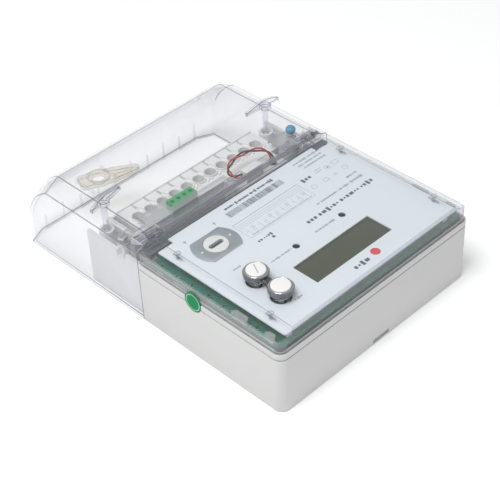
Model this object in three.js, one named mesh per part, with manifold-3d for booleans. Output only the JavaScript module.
// A three-phase prepaid electricity meter lying on its back.
// Millimetres. +Z comes out of the face, +X is the reader's right, +Y points to the meter's top edge.
// The origin is the middle of the back. The seam between the body and the terminal cover is at y = 0.
import * as THREE from 'three';
import { ConvexGeometry } from 'three/addons/geometries/ConvexGeometry.js';
import { mergeVertices } from 'three/addons/utils/BufferGeometryUtils.js';
import Module from 'manifold-3d';

const wasm = await Module();
wasm.setup();

// ---- driving dimensions -------------------------------------------------------------------------
const WIDTH = 170; // over the base and the terminal cover
const BODY_LENGTH = 120.4; // from the seam to the top edge
const BAY_LENGTH = 120.4; // from the seam to the cable end
const FACE_HEIGHT = 60; // back to the flat of the clear covers
const BASE_HEIGHT = 45.5; // back to the rim of the base
const CORNER = 6; // radius of the upright corners
const GAP = 0.3; // clearance between pieces that touch
const FIT = 0.4; // running clearance between pieces that move

const BASE_WALL = 3.2;
const BASE_FLOOR = 2.5;
const GROOVE_DROP = 4.5; // from the rim down to the line around the base
const GROOVE_HEIGHT = 1;
const GROOVE_DEPTH = 0.8;

const COVER_WALL = 2;
const COVER_INSET = 1; // the main cover's foot stands in from the base's outside
const CROWN_RUN = 12.5; // width of the sloping strip along each side
const CROWN_DROP = 6; // how far the strip falls, and how far the end bevel draws in
const END_RUN = 30; // the flat of the terminal cover stops this far before the cable end
const END_BREAK = 26; // degrees it turns down by there, before the big round to the foot
const EDGE_ROUND = 2.5; // round at the top edge of the main cover

const BAY_INSET = 3.5; // the bay walls stand in from the base's outside
const BAY_WALL = 2.5;
const BAY_DEPTH = 54; // the bay floor runs this far under the terminal cover
const BAY_TOP = 41;

const TERMINALS = 11;
const TERMINAL_PITCH = 10.6;
const TERMINAL_CENTRE = -3; // middle of the row
const BLOCK_END = 7.2; // the block runs this far past the row of terminals
const BLOCK_DEPTH = 27;
const BLOCK_TOP = 40;
const WELL_Y = -40;
const WELL_RADIUS = 4.1;
const WELL_RIM = 1.2;
const ENTRY_RADIUS = 3.4;
const CLAMP_WIDTH = 7.4;
const CLAMP_HEIGHT = 10;
const CLAMP_LENGTH = 20;
const CLAMP_BORE = 3.2;
const CLAMP_Z = 18; // centre line of the cables
const SCREW_RADIUS = 1.7;
const SCREW_STANDOFF = 8.5; // the screws stand loosened, this far over their clamps

const SLOPE_FOOT_Y = -21; // the main cover's face falls to here under the terminal cover
const SLOPE_FOOT_Z = 46.5;
const FLANGE_END_Y = -26;
const SLOPE_INSET = 5; // the sloping front stands in from the sides
const SHOULDER_CUT = 7; // board and slope leave this much free beside the hinge

const LABEL_SIDE = 8.5; // from the base's outside to the label
const LABEL_NEAR = 5; // from the seam to the label
const LABEL_END = 4.4; // from the label to the top edge
const LABEL_DROP = 3.5; // from the underside of the clear face to the label's back
const LABEL_THICK = 1;
const LABEL_LEG = { x: 70, ys: [22, 111], half: 2 };
const BOARD_LIFT = 0.9; // the circuit board lies this far over the rim of the base
const BOARD_THICK = 1.6;
const BOARD_FREE = 0.6; // from the board's edge to the wall of the base
const BOARD_NEAR = 4;
const BOARD_POST = { inset: 11, ys: [14, 108], radius: 3 };

const SCREEN = { x: -1.5, y: 89.4, width: 66.5, height: 20 };
const PORT = { x: 48, y: 31, radius: 16, flat: 11, disc: 8, slotLength: 11.2, slotWidth: 3.6 };
const BUTTON_X = 54.8;
const BUTTON_YS = [72, 92];
const BUTTON_RADIUS = 6.3;
const COLLAR_WALL = 1.8; // from a button to the outside of its collar
const COLLAR_RISE = 4.2; // collar over the clear face
const BUTTON_RISE = 5; // button over the clear face
const BUTTON_TRAVEL = 1.2;
const LED_XS = [16, -25];
const LED_Y = 67.2;

const HINGE_RADIUS = 2.4; // barrel of the terminal cover's hinge
const KNUCKLE = { inset: 23, width: 4, gap: 0.5 }; // inset is from the outside to the first knuckle
const WING = { inset: 13, y: -45.5, hub: 4.2, inner: 17, outer: 12, rise: 7, thick: 2.2, shaft: 2,
  turns: [12, -4] };
const LUG_SCREW = { inset: 9.5, y: -25, radius: 1.8 };
const AUX = { x: 21, y: -30.2, width: 21, depth: 7.4 };
const POCKET = { x0: -58, x1: -13, y0: -26.5, y1: -11 }; // battery connector pocket
const LEAD_HOLE = { x: -50, y: -17, radius: 3 }; // the battery leads pass the pocket's floor here
const FRONT_TABS = [{ x0: 34, x1: 56, y: -35 }, { x0: -68, x1: -59, y: -31 }]; // run out over the bay
const LUG_TAB = { side: 9.5, end: 6 }; // from a lug screw to the edges of its tab
const HANGER = { x: 33, inset: 18.9, z: 29, arm: 26, thick: 3.2, angle: 159 };
const END_NOTCH = { x0: -9.5, x1: 5.2, z0: 0.8, z1: 4 }; // prising slot in the top edge's wall
const STICKER = { y: 48.5, drop: 1.3, radius: 6.8, thick: 0.4 }; // drop is from the rim to its middle

const HALF = WIDTH / 2;
const EPS = 1; // how far a cutter runs past what it cuts

// ---- solids and meshes --------------------------------------------------------------------------
function solid(geometry) {
  geometry.deleteAttribute('normal');
  geometry.deleteAttribute('uv');
  const merged = mergeVertices(geometry, 1e-4);
  return new wasm.Manifold(new wasm.Mesh({
    numProp: 3,
    vertProperties: Float32Array.from(merged.attributes.position.array),
    triVerts: Uint32Array.from(merged.index.array),
  }));
}

function box(x0, x1, y0, y1, z0, z1) {
  const geometry = new THREE.BoxGeometry(x1 - x0, y1 - y0, z1 - z0);
  return solid(geometry.translate((x0 + x1) / 2, (y0 + y1) / 2, (z0 + z1) / 2));
}

function post(x, y, radius, z0, z1, sides = 20) {
  const geometry = new THREE.CylinderGeometry(radius, radius, z1 - z0, sides);
  return solid(geometry.rotateX(Math.PI / 2).translate(x, y, (z0 + z1) / 2));
}

function rodX(x0, x1, y, z, radius, sides = 20) {
  const geometry = new THREE.CylinderGeometry(radius, radius, x1 - x0, sides);
  return solid(geometry.rotateZ(Math.PI / 2).translate((x0 + x1) / 2, y, z));
}

function rodY(x, y0, y1, z, radius, sides = 16) {
  return solid(new THREE.CylinderGeometry(radius, radius, y1 - y0, sides).translate(x, (y0 + y1) / 2, z));
}

function extrude(shape, length, curveSegments) {
  return new THREE.ExtrudeGeometry(shape, { depth: length, bevelEnabled: false, curveSegments });
}

// A plan outline raised along Z.
function prismZ(shape, z0, z1, curveSegments = 6) {
  return solid(extrude(shape, z1 - z0, curveSegments).translate(0, 0, z0));
}

// An outline in (y, z) run along X.
function prismX(shape, x0, x1, curveSegments = 8) {
  const turn = new THREE.Matrix4().makeBasis(
    new THREE.Vector3(0, 1, 0), new THREE.Vector3(0, 0, 1), new THREE.Vector3(1, 0, 0));
  return solid(extrude(shape, x1 - x0, curveSegments).applyMatrix4(turn).translate(x0, 0, 0));
}

// An outline in (x, z) run along Y.
function prismY(shape, y0, y1, curveSegments = 8) {
  return solid(extrude(shape, y1 - y0, curveSegments).rotateX(Math.PI / 2).translate(0, y1, 0));
}

function lathe(points, sides, x, y) {
  const profile = points.map(([r, z]) => new THREE.Vector2(r, z));
  return solid(new THREE.LatheGeometry(profile, sides).rotateX(Math.PI / 2).translate(x, y, 0));
}

function polygon(points) {
  return new THREE.Shape(points.map(([a, b]) => new THREE.Vector2(a, b)));
}

// A plan with square corners at y0 and round ones at y1.
function bodyPlan(half, y0, y1, radius) {
  const plan = new THREE.Shape();
  plan.moveTo(-half, y0);
  plan.lineTo(half, y0);
  plan.lineTo(half, y1 - radius);
  plan.absarc(half - radius, y1 - radius, radius, 0, Math.PI / 2, false);
  plan.lineTo(radius - half, y1);
  plan.absarc(radius - half, y1 - radius, radius, Math.PI / 2, Math.PI, false);
  return plan;
}

function roundedBox(x0, x1, y0, y1, radius, z0, z1) {
  const plan = new THREE.Shape();
  plan.moveTo(x0 + radius, y0);
  plan.lineTo(x1 - radius, y0);
  plan.absarc(x1 - radius, y0 + radius, radius, -Math.PI / 2, 0, false);
  plan.lineTo(x1, y1 - radius);
  plan.absarc(x1 - radius, y1 - radius, radius, 0, Math.PI / 2, false);
  plan.lineTo(x0 + radius, y1);
  plan.absarc(x0 + radius, y1 - radius, radius, Math.PI / 2, Math.PI, false);
  plan.lineTo(x0, y0 + radius);
  plan.absarc(x0 + radius, y0 + radius, radius, Math.PI, Math.PI * 1.5, false);
  return prismZ(plan, z0, z1, 4);
}

function joined(solids) {
  return solids.reduce((whole, piece) => whole.add(piece));
}

function cut(whole, cutters) {
  return cutters.reduce((rest, cutter) => rest.subtract(cutter), whole);
}

const group = new THREE.Group();

function place(name, shape, colour, roughness, metalness = 0, opacity = 1) {
  const { vertProperties, triVerts } = shape.getMesh();
  const geometry = new THREE.BufferGeometry();
  geometry.setAttribute('position', new THREE.BufferAttribute(vertProperties, 3));
  geometry.setIndex(new THREE.BufferAttribute(triVerts, 1));
  geometry.computeVertexNormals();
  const material = new THREE.MeshStandardMaterial({ color: colour, roughness, metalness });
  material.opacity = opacity;
  material.transparent = opacity < 1;
  const mesh = new THREE.Mesh(geometry, material);
  mesh.name = name;
  group.add(mesh);
}

// ---- places worked out from the dimensions ------------------------------------------------------
const stickerZ = BASE_HEIGHT - STICKER.drop;
const grooveZ = BASE_HEIGHT - GROOVE_DROP;
const bayOuter = HALF - BAY_INSET;
const bayInner = bayOuter - BAY_WALL;
const coverFoot = BASE_HEIGHT + GAP;
const boardZ = BASE_HEIGHT + BOARD_LIFT;
const boardTop = boardZ + BOARD_THICK;
const boardHalf = HALF - BASE_WALL - BOARD_FREE;
const labelHalf = HALF - LABEL_SIDE;
const labelFar = BODY_LENGTH - LABEL_END;
const labelZ = FACE_HEIGHT - COVER_WALL - LABEL_DROP;
const labelTop = labelZ + LABEL_THICK;
const collarRadius = BUTTON_RADIUS + COLLAR_WALL;
const collarTop = FACE_HEIGHT + COLLAR_RISE;
const buttonTop = FACE_HEIGHT + BUTTON_RISE;
const slopeHalf = HALF - SLOPE_INSET;
const blockHalf = (TERMINALS * TERMINAL_PITCH) / 2 + BLOCK_END;
const wingX = HALF - WING.inset;
const lugX = HALF - LUG_SCREW.inset;
const endBreak = THREE.MathUtils.degToRad(END_BREAK);
const endRadius = END_RUN / (1 - Math.sin(endBreak));
const endZ = FACE_HEIGHT - endRadius * Math.cos(endBreak); // height of the round's middle
const hangerY = HANGER.inset - BAY_LENGTH;
const knuckleInner = HALF - KNUCKLE.inset;
const terminalXs = Array.from({ length: TERMINALS },
  (_, i) => TERMINAL_CENTRE + (i - (TERMINALS - 1) / 2) * TERMINAL_PITCH);
const knuckleOuter = knuckleInner + 3 * KNUCKLE.width + 2 * KNUCKLE.gap;
const leaf = [knuckleInner + KNUCKLE.width + KNUCKLE.gap, knuckleInner + 2 * KNUCKLE.width + KNUCKLE.gap];
const sides = [1, -1];

// The wall is thicker measured straight down through the sloping strip.
const crownSlope = CROWN_DROP / CROWN_RUN;
const crownWall = COVER_WALL * Math.hypot(1, crownSlope);

// Cross-section in (x, z) of a clear cover, drawn in by a wall or a clearance.
function crown(half, foot, inset) {
  const drop = inset * Math.hypot(1, crownSlope);
  const edge = half - inset;
  const flat = HALF - CROWN_RUN;
  const top = FACE_HEIGHT - inset;
  const shoulder = flat - (drop - inset) / crownSlope;
  const low = top - (edge - shoulder) * crownSlope;
  return polygon([[-edge, foot], [edge, foot], [edge, low], [shoulder, top], [-shoulder, top], [-edge, low]]);
}

function mirrored(make) {
  return joined(sides.map((side) => make(side)));
}

// A box on one side: x runs outward from the middle line.
function sideBox(side, x0, x1, y0, y1, z0, z1) {
  return box(Math.min(side * x0, side * x1), Math.max(side * x0, side * x1), y0, y1, z0, z1);
}

// ---- base ---------------------------------------------------------------------------------------
function baseCase() {
  const outer = prismZ(bodyPlan(HALF, 0, BODY_LENGTH, CORNER), 0, BASE_HEIGHT);
  const inner = bodyPlan(HALF - BASE_WALL, -EPS, BODY_LENGTH - BASE_WALL, CORNER - BASE_WALL);
  const grooveTop = grooveZ + GROOVE_HEIGHT;
  const belt = prismZ(bodyPlan(HALF + EPS, -EPS, BODY_LENGTH + EPS, CORNER), grooveZ, grooveTop);
  const belly = bodyPlan(HALF - GROOVE_DEPTH, -2 * EPS, BODY_LENGTH - GROOVE_DEPTH, CORNER - GROOVE_DEPTH);
  const groove = belt.subtract(prismZ(belly, grooveZ - EPS, grooveTop + EPS));
  const sealTrack = prismZ(bodyPlan(HALF - 0.9, 2, BODY_LENGTH - 0.9, CORNER - 0.9), BASE_HEIGHT - 1.5,
    BASE_HEIGHT + EPS).subtract(prismZ(bodyPlan(HALF - 2.5, 0, BODY_LENGTH - 2.5, CORNER - 2.5), 0, 60));
  const bay = box(-bayOuter, bayOuter, -BAY_DEPTH, EPS, 0, BAY_TOP);
  const bayRoom = box(-bayInner, bayInner, -BAY_DEPTH - EPS, 2 * EPS, BASE_FLOOR, BAY_TOP + EPS);
  const room = prismZ(inner, BASE_FLOOR, BASE_HEIGHT + EPS);
  const shell = cut(outer.add(bay), [room, bayRoom, groove, sealTrack]);
  const boardPosts = mirrored((side) => joined(BOARD_POST.ys.map((y) =>
    post(side * (HALF - BOARD_POST.inset), y, BOARD_POST.radius, BASE_FLOOR - 0.5, boardZ - GAP, 12))));
  const wingBosses = mirrored((side) => post(side * wingX, WING.y, 5, BASE_FLOOR - 0.5, BAY_TOP, 20)
    .add(sideBox(side, wingX, bayInner + 0.5, WING.y - 3, WING.y + 3, BASE_FLOOR - 0.5, BAY_TOP - 4)));
  const lugBosses = mirrored((side) => post(side * lugX, LUG_SCREW.y, 4, BASE_FLOOR - 0.5,
    SLOPE_FOOT_Z - COVER_WALL - GAP, 16)
    .add(sideBox(side, lugX, bayInner + 0.5, LUG_SCREW.y - 2, LUG_SCREW.y + 2, BASE_FLOOR - 0.5, 30)));
  const shelfTop = BLOCK_TOP;
  const shelf = joined([
    box(POCKET.x0, POCKET.x1, POCKET.y0, POCKET.y1, shelfTop - 2.5, shelfTop),
    box(POCKET.x0, POCKET.x0 + 2.5, POCKET.y0, POCKET.y1, BASE_FLOOR - 0.5, shelfTop - 2),
    box(POCKET.x1 - 2.5, POCKET.x1, POCKET.y0, POCKET.y1, BASE_FLOOR - 0.5, shelfTop - 2),
  ]);
  const whole = joined([shell, boardPosts, wingBosses, lugBosses, shelf]);
  return cut(whole, [
    mirrored((side) => post(side * wingX, WING.y, WING.shaft + 1.5, BAY_TOP - 2.5, BAY_TOP + EPS, 16)),
    mirrored((side) => post(side * lugX, LUG_SCREW.y, LUG_SCREW.radius + 0.2, 30, 50, 12)),
    post(LEAD_HOLE.x, LEAD_HOLE.y, LEAD_HOLE.radius, shelfTop - 4, shelfTop + EPS, 12),
    mirrored((side) => sideBox(side, bayInner - EPS, bayOuter + EPS, -25, -17, BAY_TOP - 5, BAY_TOP + EPS)),
    box(END_NOTCH.x0, END_NOTCH.x1, BODY_LENGTH - 1.6, BODY_LENGTH + EPS, END_NOTCH.z0, END_NOTCH.z1),
    stickerSeat(),
  ]);
}

// The round sticker sits flush in a shallow seat across the rim of the base and the cover's foot.
function stickerSeat() {
  return rodX(HALF - STICKER.thick - GAP - 0.4, HALF + EPS, STICKER.y, stickerZ, STICKER.radius + GAP, 28);
}

function coverGasket() {
  const outline = bodyPlan(HALF - 1.2, 4, BODY_LENGTH - 1.2, CORNER - 1.2);
  const outer = prismZ(outline, BASE_HEIGHT - 1.2, BASE_HEIGHT - 0.1);
  return outer.subtract(prismZ(bodyPlan(HALF - 2.2, 0, BODY_LENGTH - 2.2, CORNER - 2.2), 0, FACE_HEIGHT));
}

// ---- clear covers -------------------------------------------------------------------------------
function mainCover() {
  const foot = coverFoot;
  const half = HALF - COVER_INSET;
  const end = BODY_LENGTH - COVER_INSET;
  const outerPlan = prismZ(bodyPlan(half, GAP, end, CORNER), foot, FACE_HEIGHT + EPS);
  const innerPlan = prismZ(bodyPlan(half - COVER_WALL, -EPS, end - COVER_WALL, CORNER - COVER_WALL),
    foot - EPS, FACE_HEIGHT);
  const outer = prismY(crown(half, foot, 0), GAP, end).intersect(outerPlan)
    .intersect(prismX(endRound(end, FACE_HEIGHT, EDGE_ROUND), -HALF, HALF));
  const inner = prismY(crown(half, foot - EPS, COVER_WALL), GAP - EPS, end).intersect(innerPlan);
  const frontStop = box(-half, half, GAP, GAP + COVER_WALL, foot, FACE_HEIGHT)
    .intersect(prismY(crown(half, foot, 0.1), 0, 5));
  const throat = box(-slopeHalf + COVER_WALL, slopeHalf - COVER_WALL, GAP - EPS, GAP + COVER_WALL + EPS,
    foot - EPS, FACE_HEIGHT - 5.7);
  const front = slopeFront();
  const lugs = mirrored((side) => sideBox(side, lugX - LUG_TAB.side, slopeHalf - 1,
    LUG_SCREW.y - LUG_TAB.end, SLOPE_FOOT_Y, SLOPE_FOOT_Z - COVER_WALL, SLOPE_FOOT_Z));
  const tabs = FRONT_TABS.map((tab) =>
    box(tab.x0, tab.x1, tab.y, SLOPE_FOOT_Y, SLOPE_FOOT_Z - COVER_WALL, SLOPE_FOOT_Z));
  const barrels = mirrored((side) => joined([0, 2].map((k) => {
    const x = knuckleInner + k * (KNUCKLE.width + KNUCKLE.gap);
    return joined([
      rodX(Math.min(side * x, side * (x + KNUCKLE.width)), Math.max(side * x, side * (x + KNUCKLE.width)), 0,
        FACE_HEIGHT, HINGE_RADIUS, 16),
      sideBox(side, x, x + KNUCKLE.width, 0, 6, FACE_HEIGHT - HINGE_RADIUS, FACE_HEIGHT),
    ]);
  })));
  const shell = cut(outer, [inner]).add(cut(frontStop, [throat]));
  const leafNotch = mirrored((side) => sideBox(side, leaf[0] - KNUCKLE.gap, leaf[1] + KNUCKLE.gap, -EPS,
    HINGE_RADIUS + FIT, FACE_HEIGHT - HINGE_RADIUS - 0.6, FACE_HEIGHT + 3));
  const pinBores = mirrored((side) => rodX(Math.min(side * (knuckleInner + 1.5), side * (knuckleOuter + EPS)),
    Math.max(side * (knuckleInner + 1.5), side * (knuckleOuter + EPS)), 0, FACE_HEIGHT, 1 + FIT / 2, 12));
  return cut(joined([shell, front, lugs, ...tabs, barrels]), [
    leafNotch,
    pinBores,
    box(POCKET.x0 - 0.5, POCKET.x1 + 0.5, -40, POCKET.y1 + 0.5, 40, FACE_HEIGHT),
    mirrored((side) => post(side * lugX, LUG_SCREW.y, LUG_SCREW.radius + GAP, 40, 50, 12)),
    ...BUTTON_YS.map((y) => post(BUTTON_X, y, BUTTON_RADIUS + FIT, 54, FACE_HEIGHT + EPS, 24)),
    stickerSeat(),
  ]);
}

// An outline in (y, z) whose far top corner is round.
function endRound(end, top, radius) {
  const shape = new THREE.Shape();
  shape.moveTo(-EPS, 0);
  shape.lineTo(end, 0);
  shape.lineTo(end, top - radius);
  shape.absarc(end - radius, top - radius, radius, 0, Math.PI / 2, false);
  shape.lineTo(-EPS, top);
  return shape;
}

// The main cover's face falls away under the terminal cover and ends in a flange over the block.
function slopeFront() {
  const top = FACE_HEIGHT - COVER_WALL - 0.6;
  const under = SLOPE_FOOT_Z - COVER_WALL;
  const outer = polygon([[GAP + 1, top], [GAP, top], [SLOPE_FOOT_Y, SLOPE_FOOT_Z],
    [FLANGE_END_Y, SLOPE_FOOT_Z], [FLANGE_END_Y, under], [GAP + 1, under]]);
  const inner = polygon([[GAP + 3, top - COVER_WALL], [GAP, top - COVER_WALL], [SLOPE_FOOT_Y + 1.2, under],
    [SLOPE_FOOT_Y + 1.2, under - 2], [GAP + 3, under - 2]]);
  const room = prismY(crown(HALF, 0, COVER_WALL + 0.5), -40, 5);
  return cut(prismX(outer, -slopeHalf, slopeHalf).intersect(room),
    [prismX(inner, COVER_WALL - slopeHalf, slopeHalf - COVER_WALL)]);
}

// Outline in (y, z) of the terminal cover's cable end, drawn in by an inset.
function endProfile(inset, seam, foot) {
  const points = [[seam, foot], [seam, FACE_HEIGHT - inset]];
  const steps = 12;
  const radius = endRadius - inset;
  const start = Math.acos((FACE_HEIGHT - inset - endZ) / radius);
  for (let i = 0; i <= steps; i += 1) {
    const angle = start + (Math.PI / 2 - start) * (i / steps);
    points.push([endRadius - BAY_LENGTH - radius * Math.sin(angle), endZ + radius * Math.cos(angle)]);
  }
  points.push([inset - BAY_LENGTH, foot]);
  return points;
}

// How far out the rounded end wall of the terminal cover stands at a height.
function endAt(z, inset) {
  return endRadius - BAY_LENGTH - Math.sqrt((endRadius - inset) ** 2 - Math.max(0, z - endZ) ** 2);
}

function endShell(wall, seam, foot) {
  const drop = wall * Math.hypot(1, crownSlope);
  const shoulder = HALF - CROWN_RUN - (drop - wall) / crownSlope;
  const edge = HALF - wall;
  const edgeInset = wall + (edge - shoulder) * crownSlope;
  const points = [];
  for (const [x, inset] of [[shoulder, wall], [edge, edgeInset]]) {
    for (const [y, z] of endProfile(inset, seam, foot)) {
      points.push(new THREE.Vector3(x, y, z), new THREE.Vector3(-x, y, z));
    }
  }
  return solid(new ConvexGeometry(points));
}

function terminalCover() {
  const shell = endShell(0, -GAP, 0).subtract(endShell(COVER_WALL, 2 * EPS, -EPS));
  const mainLugs = mirrored((side) => joined([0, 2].map((k) => {
    const x = knuckleInner + k * (KNUCKLE.width + KNUCKLE.gap);
    return sideBox(side, x - KNUCKLE.gap, x + KNUCKLE.width + KNUCKLE.gap, -HINGE_RADIUS - FIT, EPS,
      FACE_HEIGHT - 6, FACE_HEIGHT + 3);
  })));
  const leaves = mirrored((side) => joined([
    rodX(Math.min(side * leaf[0], side * leaf[1]), Math.max(side * leaf[0], side * leaf[1]), 0, FACE_HEIGHT,
      HINGE_RADIUS, 16),
    sideBox(side, leaf[0], leaf[1], -4, 0, FACE_HEIGHT - HINGE_RADIUS, FACE_HEIGHT),
    rodX(Math.min(side * (knuckleInner + 2), side * knuckleOuter),
      Math.max(side * (knuckleInner + 2), side * knuckleOuter), 0, FACE_HEIGHT, 1, 10),
  ]));
  const ribPitch = 15.4;
  const ribs = Array.from({ length: 10 }, (_, i) => {
    const x = (i - 4.5) * ribPitch;
    const wallY = COVER_WALL - BAY_LENGTH;
    return box(x - 0.5, x + 0.5, wallY - 0.4, wallY + 0.7, 0, i % 2 ? 12 : 15);
  });
  const ledges = [HANGER.x - 12, HANGER.x + 10].map((x) =>
    box(x - 1, x + 1, endAt(HANGER.z, COVER_WALL / 2), hangerY + 7, HANGER.z - GAP - 2, HANGER.z - GAP));
  const body = cut(shell, [mainLugs]);
  return cut(joined([body, leaves, ...ribs, ...ledges]), [
    mirrored((side) => post(side * wingX, WING.y, WING.shaft + FIT, 50, FACE_HEIGHT + EPS, 16)),
  ]);
}

function wingScrew(side, turn) {
  const x = side * wingX;
  const headZ = FACE_HEIGHT + FIT;
  const tip = WING.rise / 2;
  const shaft = post(x, WING.y, WING.shaft, BAY_TOP - 1.5, headZ + 0.5, 12);
  const hub = post(x, WING.y, WING.hub, headZ, headZ + 3.2, 16);
  const wings = new THREE.Shape();
  wings.moveTo(-WING.inner, 1);
  wings.lineTo(WING.outer, 1);
  wings.lineTo(WING.outer, tip);
  wings.quadraticCurveTo(WING.hub, WING.rise, 0, WING.rise);
  wings.quadraticCurveTo(-WING.hub, WING.rise, -WING.inner, tip);
  const sealHole = rodY(0, -5, 5, WING.rise - 2.2, 1, 10);
  const fin = prismY(wings, -WING.thick / 2, WING.thick / 2, 4).subtract(sealHole);
  const facing = side > 0 ? turn : turn + 180;
  return joined([shaft, hub, fin.rotate([0, 0, facing]).translate([x, WING.y, headZ])]);
}

// ---- terminals ----------------------------------------------------------------------------------
function terminalBlock() {
  const y0 = -BAY_DEPTH;
  const y1 = -BLOCK_DEPTH;
  const room = CLAMP_WIDTH / 2 + FIT;
  const body = box(-blockHalf, blockHalf, y0, y1, BASE_FLOOR + GAP, BLOCK_TOP);
  const rimTop = BLOCK_TOP + WELL_RIM;
  const rims = terminalXs.map((x) => post(x, WELL_Y, WELL_RADIUS + 0.9, BLOCK_TOP - 1, rimTop, 14));
  const wells = terminalXs.map((x) => post(x, WELL_Y, WELL_RADIUS, CLAMP_Z, BLOCK_TOP + 3, 14));
  const rooms = terminalXs.map((x) => box(x - room, x + room, y0 + 4, y1 + EPS,
    CLAMP_Z - CLAMP_HEIGHT / 2 - FIT, CLAMP_Z + CLAMP_HEIGHT / 2 + FIT));
  const entries = terminalXs.map((x) => rodY(x, y0 - EPS, y0 + 5, CLAMP_Z, ENTRY_RADIUS, 10));
  const auxSeat = box(AUX.x - AUX.width / 2 - GAP, AUX.x + AUX.width / 2 + GAP,
    AUX.y - AUX.depth / 2 - GAP, 0, 30, BLOCK_TOP + 3);
  const lastWell = terminalXs[TERMINALS - 1] + WELL_RADIUS;
  const endSlot = box(lastWell + 4.5, lastWell + 8.1, y0 + 2, y1 - 4, 30, BLOCK_TOP + 1);
  const frontGrooves = terminalXs.slice(1).map((x) =>
    box(x - TERMINAL_PITCH / 2 - 0.9, x - TERMINAL_PITCH / 2 + 0.9, y0 - EPS, y0 + 7, 26, BLOCK_TOP + 1));
  return cut(joined([body, ...rims]), [...wells, ...rooms, ...entries, ...frontGrooves, auxSeat, endSlot]);
}

function terminalClamp(x) {
  const y0 = WELL_Y - CLAMP_LENGTH / 2 + 0.4;
  const body = box(x - CLAMP_WIDTH / 2, x + CLAMP_WIDTH / 2, y0, y0 + CLAMP_LENGTH,
    CLAMP_Z - CLAMP_HEIGHT / 2, CLAMP_Z + CLAMP_HEIGHT / 2);
  return cut(body, [
    rodY(x, y0 - EPS, y0 + CLAMP_LENGTH + EPS, CLAMP_Z, CLAMP_BORE, 10),
    post(x, WELL_Y, SCREW_RADIUS + 0.3, CLAMP_Z, CLAMP_Z + CLAMP_HEIGHT, 8),
  ]);
}

function terminalScrew(x) {
  const headZ = CLAMP_Z + CLAMP_HEIGHT / 2 + SCREW_STANDOFF;
  const shaft = post(x, WELL_Y, SCREW_RADIUS, CLAMP_Z + 2.6, headZ + 0.5, 8);
  const head = post(x, WELL_Y, 3.3, headZ, headZ + 3, 10);
  const slot = box(x - 4, x + 4, WELL_Y - 0.5, WELL_Y + 0.5, headZ + 1.8, headZ + 4);
  return joined([shaft, head]).subtract(slot);
}

function auxHeader() {
  const body = box(AUX.x - AUX.width / 2, AUX.x + AUX.width / 2, AUX.y - AUX.depth / 2, AUX.y + AUX.depth / 2,
    30 + GAP, 37);
  const troughs = box(AUX.x - AUX.width / 2 + 1, AUX.x + AUX.width / 2 - 1, AUX.y - AUX.depth / 2 + 1,
    AUX.y + AUX.depth / 2 - 1, 32, 38);
  return body.subtract(troughs);
}

function auxPlug() {
  const x0 = AUX.x - AUX.width / 2;
  const z0 = 37 + GAP;
  const body = box(x0, x0 + AUX.width, AUX.y - AUX.depth / 2, AUX.y + AUX.depth / 2, z0, z0 + 8.6);
  const pitch = AUX.width / 4;
  const holes = Array.from({ length: 4 }, (_, i) =>
    post(x0 + (i + 0.5) * pitch, AUX.y, 1.5, z0 + 5, z0 + 10, 12));
  return cut(body, holes);
}

// ---- inside the body ----------------------------------------------------------------------------
function labelPlate() {
  const notch = mirrored((side) => sideBox(side, knuckleInner + 2, labelHalf + EPS, LABEL_NEAR - EPS,
    LABEL_NEAR + 5, labelZ - EPS, labelTop + EPS));
  const plate = roundedBox(-labelHalf, labelHalf, LABEL_NEAR, labelFar, 2, labelZ, labelTop).subtract(notch);
  const legs = mirrored((side) => joined(LABEL_LEG.ys.map((y) =>
    box(side * LABEL_LEG.x - LABEL_LEG.half, side * LABEL_LEG.x + LABEL_LEG.half, y - LABEL_LEG.half,
      y + LABEL_LEG.half, boardTop + GAP, labelZ + LABEL_THICK / 2))));
  return cut(plate.add(legs), [
    box(SCREEN.x - SCREEN.width / 2, SCREEN.x + SCREEN.width / 2, SCREEN.y - SCREEN.height / 2,
      SCREEN.y + SCREEN.height / 2, boardTop, FACE_HEIGHT),
    box(PORT.x - PORT.slotLength / 2, PORT.x + PORT.slotLength / 2, PORT.y - PORT.slotWidth / 2,
      PORT.y + PORT.slotWidth / 2, boardTop, FACE_HEIGHT),
    ...BUTTON_YS.map((y) => post(BUTTON_X, y, BUTTON_RADIUS + FIT, boardTop, FACE_HEIGHT, 24)),
    ...LED_XS.map((x) => post(x, LED_Y, 2.4, boardTop, FACE_HEIGHT, 20)),
  ]);
}

function mainBoard() {
  const far = BODY_LENGTH - BASE_WALL - BOARD_FREE;
  const board = roundedBox(-boardHalf, boardHalf, BOARD_NEAR, far, CORNER - BASE_WALL, boardZ, boardTop);
  const cornerCuts = mirrored((side) => sideBox(side, slopeHalf - SHOULDER_CUT, boardHalf + EPS,
    BOARD_NEAR - EPS, BOARD_NEAR + 5, boardZ - EPS, boardTop + EPS));
  return cut(board, [cornerCuts]);
}

function screenGlass() {
  const x = SCREEN.width / 2 + 2;
  const y = SCREEN.height / 2 + 2;
  return box(SCREEN.x - x, SCREEN.x + x, SCREEN.y - y, SCREEN.y + y, labelZ - GAP - 1.4, labelZ - GAP);
}

function screenBacklight() {
  const x = SCREEN.width / 2 + 3;
  const y = SCREEN.height / 2 + 3;
  return roundedBox(SCREEN.x - x, SCREEN.x + x, SCREEN.y - y, SCREEN.y + y, 1, boardTop + GAP,
    labelZ - 2 * GAP - 1.4);
}

function barrelShape(radius, flat) {
  const start = Math.asin(flat / radius);
  const shape = new THREE.Shape();
  shape.absarc(0, 0, radius, -start, start, false);
  shape.absarc(0, 0, radius, Math.PI - start, Math.PI + start, false);
  return shape;
}

function portPlate() {
  const z = labelTop + 0.25;
  const plate = prismZ(barrelShape(PORT.radius, PORT.flat), z, z + 0.9, 10).translate([PORT.x, PORT.y, 0]);
  return plate.subtract(post(PORT.x, PORT.y, PORT.disc + 0.25, z - EPS, z + 2, 28));
}

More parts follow.
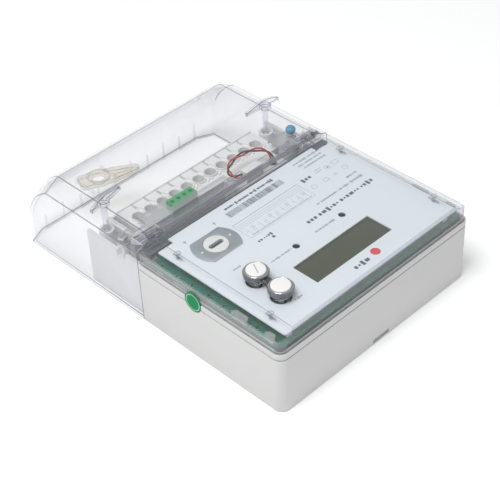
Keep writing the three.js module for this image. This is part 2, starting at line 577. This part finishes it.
function portDisc() {
  const z = labelTop + 0.25;
  const slot = roundedBox(PORT.x - PORT.slotLength / 2, PORT.x + PORT.slotLength / 2,
    PORT.y - PORT.slotWidth / 2, PORT.y + PORT.slotWidth / 2, 1.7, z - EPS, z + 2);
  return post(PORT.x, PORT.y, PORT.disc, z, z + 1, 28).subtract(slot);
}

function buttonCollar() {
  const z0 = FACE_HEIGHT + GAP;
  const rings = BUTTON_YS.map((y) => lathe([[0, z0], [collarRadius, z0], [collarRadius, collarTop - 1],
    [collarRadius - 0.8, collarTop], [0, collarTop]], 28, BUTTON_X, y));
  const web = box(BUTTON_X - 2.2, BUTTON_X + 2.2, BUTTON_YS[0] + 6, BUTTON_YS[1] - 6, z0, collarTop - 2);
  const bores = BUTTON_YS.map((y) => post(BUTTON_X, y, BUTTON_RADIUS + FIT, z0 - EPS, collarTop + EPS, 28));
  return cut(joined([...rings, web]), bores);
}

function buttonCap(y) {
  const under = FACE_HEIGHT + 1.8;
  const stemEnd = boardTop + GAP + 1.6 + BUTTON_TRAVEL + GAP;
  return lathe([[0, stemEnd], [1.8, stemEnd], [1.8, under], [BUTTON_RADIUS, under],
    [BUTTON_RADIUS, buttonTop - 0.5], [BUTTON_RADIUS - 0.6, buttonTop], [0, buttonTop]], 24, BUTTON_X, y);
}

class CoilCurve extends THREE.Curve {
  constructor(x, y, z0, z1, radius, turns) {
    super();
    Object.assign(this, { x, y, z0, z1, radius, turns });
  }

  getPoint(t, target = new THREE.Vector3()) {
    const angle = t * this.turns * 2 * Math.PI;
    return target.set(this.x + this.radius * Math.cos(angle), this.y + this.radius * Math.sin(angle),
      this.z0 + (this.z1 - this.z0) * t);
  }
}

function circle(radius, sides) {
  return new THREE.Shape(Array.from({ length: sides }, (_, i) => {
    const angle = (i / sides) * 2 * Math.PI;
    return new THREE.Vector2(radius * Math.cos(angle), radius * Math.sin(angle));
  }));
}

function tube(curve, radius, tubeSides, steps) {
  return solid(new THREE.ExtrudeGeometry(circle(radius, tubeSides), { extrudePath: curve, steps }));
}

function buttonSpring(y) {
  const wire = 0.3;
  const z0 = boardTop + GAP + wire;
  const z1 = FACE_HEIGHT + 1.8 - GAP - wire;
  return tube(new CoilCurve(BUTTON_X, y, z0, z1, 4.8, 3.5), wire, 5, 28);
}

function tactSwitch(y) {
  const z = boardTop + GAP;
  const plunger = post(BUTTON_X, y, 1.6, z + 0.5, z + 1.6, 14);
  return box(BUTTON_X - 3, BUTTON_X + 3, y - 3, y + 3, z, z + 1).add(plunger);
}

function pulseLed(x) {
  const z = boardTop + GAP;
  const profile = [[0, z], [1.9, z], [1.9, z + 0.8], [1.5, z + 0.8], [1.5, z + 2.4], [1.1, z + 3.3],
    [0, z + 3.7]];
  return lathe(profile, 16, x, LED_Y);
}

function currentSensor(x) {
  const profile = [[4, -5], [11, -5], [11, 5], [4, 5], [4, -5]].map(([r, z]) => new THREE.Vector2(r, z));
  return solid(new THREE.LatheGeometry(profile, 24).translate(x, 12, BASE_FLOOR + GAP + 11.2));
}

function supplyTransformer() {
  const z = BASE_FLOOR + GAP;
  const core = box(30, 58, 72, 96, z, z + 26);
  const winding = box(32, 56, 68, 100, z + 5, z + 21);
  return joined([core, winding]);
}

function battery() {
  return joined([rodX(-46, -22, -18.5, 25, 7.2, 20), rodX(-47, -45, -18.5, 25, 2.4, 12)]);
}

const pocketFloor = BLOCK_TOP + GAP;

function batterySocket() {
  return box(-37, -22, -20.5, -13.5, pocketFloor, pocketFloor + 2.6)
    .subtract(box(-36, -23, -19.5, -14.5, pocketFloor + 1, pocketFloor + 4));
}

function batteryPlug() {
  const z = pocketFloor + 2.6 + GAP;
  return roundedBox(-37, -22, -20, -14, 0.8, z, z + 5);
}

// The two leads leave the plug, arch over the pocket and drop through the shelf to the battery.
const LEAD_ROUTE = [
  [-20.9, -17, 45.6], [-17.8, -17.2, 46], [-15.2, -19.4, 46.9], [-15.2, -23.2, 48.2], [-18.2, -26.4, 49.5],
  [-23.5, -28.2, 50.6], [-32, -28.2, 51.4], [-40, -26.2, 51.2], [-45.6, -23.4, 50.2], [-49, -20.2, 47.4],
  [-50, -17.9, 43.4], [-50, -17, 38.5], [-50, -17, 33],
];
const LEAD_RADIUS = 0.65;
const LEAD_TWISTS = 3;

class StrandCurve extends THREE.Curve {
  constructor(phase) {
    super();
    const stops = LEAD_ROUTE.map((p) => new THREE.Vector3(...p));
    this.middle = new THREE.CatmullRomCurve3(stops, false, 'centripetal');
    this.phase = phase;
  }

  getPoint(t, target = new THREE.Vector3()) {
    const along = this.middle.getTangentAt(t);
    const across = new THREE.Vector3(0.3, 0.95, 0.1).cross(along).normalize();
    const over = along.clone().cross(across);
    const angle = this.phase + t * LEAD_TWISTS * 2 * Math.PI;
    const offset = across.multiplyScalar(Math.cos(angle)).addScaledVector(over, Math.sin(angle));
    return target.copy(this.middle.getPointAt(t)).addScaledVector(offset, LEAD_RADIUS + 0.25);
  }
}

function batteryLead(phase) {
  return tube(new StrandCurve(phase), LEAD_RADIUS, 8, 36);
}

function coverScrew(side) {
  const x = side * lugX;
  const z = SLOPE_FOOT_Z + GAP;
  const shaft = post(x, LUG_SCREW.y, LUG_SCREW.radius - 0.1, 32, z + 0.5, 10);
  const head = post(x, LUG_SCREW.y, 3.2, z, z + 1.8, 16);
  const slot = box(x - 4, x + 4, LUG_SCREW.y - 0.4, LUG_SCREW.y + 0.4, z + 1.1, z + 3);
  return joined([shaft, head]).subtract(slot);
}

function sealInsert() {
  const z = SLOPE_FOOT_Z + GAP + 1.8 + GAP;
  return lathe([[0, z], [3.4, z], [3.6, z + 2.2], [2.4, z + 3.6], [0, z + 4]], 16, -lugX, LUG_SCREW.y);
}

function inspectionSticker() {
  return rodX(HALF - STICKER.thick, HALF, STICKER.y, stickerZ, STICKER.radius, 28);
}

// A flat hook with a ring, which slides into the back of the meter to hang it up.
function hanger() {
  const plan = new THREE.Shape();
  plan.moveTo(HANGER.arm, -3.4);
  plan.absarc(HANGER.arm, 0, 3.4, -Math.PI / 2, Math.PI / 2, false);
  plan.lineTo(10, 7);
  plan.lineTo(-11, 7);
  plan.absarc(-11, 4, 3, Math.PI / 2, Math.PI, false);
  plan.lineTo(-14, -4);
  plan.absarc(-11, -4, 3, Math.PI, Math.PI * 1.5, false);
  plan.lineTo(10, -7);
  const arm = prismZ(plan, 0, HANGER.thick, 4).add(post(0, 0, 8.2, 0, HANGER.thick + 0.9, 24));
  const tool = cut(arm, [
    post(0, 0, 4.6, -EPS, 6, 20),
    post(0, 0, 6.6, HANGER.thick, 6, 20),
    roundedBox(12, HANGER.arm - 3, -1.6, 1.6, 1.5, -EPS, 6),
  ]);
  return tool.rotate([0, 0, HANGER.angle]).translate([HANGER.x, hangerY, HANGER.z]);
}

// ---- the meter ----------------------------------------------------------------------------------
place('base_case', baseCase(), 0xe3e4e2, 0.55);
place('cover_gasket', coverGasket(), 0x4a4d50, 0.8);
place('main_cover', mainCover(), 0xe8eef2, 0.08, 0, 0.25);
place('terminal_cover', terminalCover(), 0xe8eef2, 0.08, 0, 0.25);
place('terminal_block', terminalBlock(), 0xdedfdc, 0.55);
terminalXs.forEach((x, i) => place(`terminal_clamp_${i + 1}`, terminalClamp(x), 0xc8a45a, 0.35, 1));
terminalXs.forEach((x, i) => place(`terminal_screw_${i + 1}`, terminalScrew(x), 0xb9bcbf, 0.3, 1));
place('aux_header', auxHeader(), 0x2f9a58, 0.45);
place('aux_plug', auxPlug(), 0x3fb46c, 0.45);
place('label_plate', labelPlate(), 0xdfe7ec, 0.4);
place('main_board', mainBoard(), 0x3c7866, 0.45);
place('screen_glass', screenGlass(), 0x5f6255, 0.15);
place('screen_backlight', screenBacklight(), 0xe9ebe6, 0.5);
place('port_plate', portPlate(), 0xa0acb2, 0.35, 0.7);
place('port_disc', portDisc(), 0xe6ebee, 0.4);
place('button_collar', buttonCollar(), 0xb9bdc2, 0.12, 0.9);
BUTTON_YS.forEach((y, i) => place(`button_cap_${i + 1}`, buttonCap(y), 0xe8e7e4, 0.4));
BUTTON_YS.forEach((y, i) => place(`button_spring_${i + 1}`, buttonSpring(y), 0xb4b8bb, 0.3, 1));
BUTTON_YS.forEach((y, i) => place(`tact_switch_${i + 1}`, tactSwitch(y), 0x2a2b2d, 0.5));
LED_XS.forEach((x, i) => place(`pulse_led_${i + 1}`, pulseLed(x), 0xa02020, 0.2));
[-48, -8, 32].forEach((x, i) => place(`current_sensor_${i + 1}`, currentSensor(x), 0x2c3f66, 0.5));
place('supply_transformer', supplyTransformer(), 0x55504a, 0.5);
place('battery', battery(), 0x3e8f5a, 0.35);
place('battery_socket', batterySocket(), 0xecebe5, 0.5);
place('battery_plug', batteryPlug(), 0xf0efea, 0.5);
place('battery_lead_red', batteryLead(0), 0xb81f2c, 0.45);
place('battery_lead_black', batteryLead(Math.PI), 0x1c1c1e, 0.45);
sides.forEach((side, i) => place(`cover_screw_${i + 1}`, coverScrew(side), 0xb9bcbf, 0.3, 1));
place('seal_insert', sealInsert(), 0x4aa3c8, 0.4);
place('inspection_sticker', inspectionSticker(), 0x0a9a5c, 0.35);
sides.forEach((side, i) =>
  place(`wing_screw_${i + 1}`, wingScrew(side, WING.turns[i]), 0xe6eaf0, 0.1, 0, 0.4));
place('hanger', hanger(), 0xd9d4c2, 0.35);

export default group;
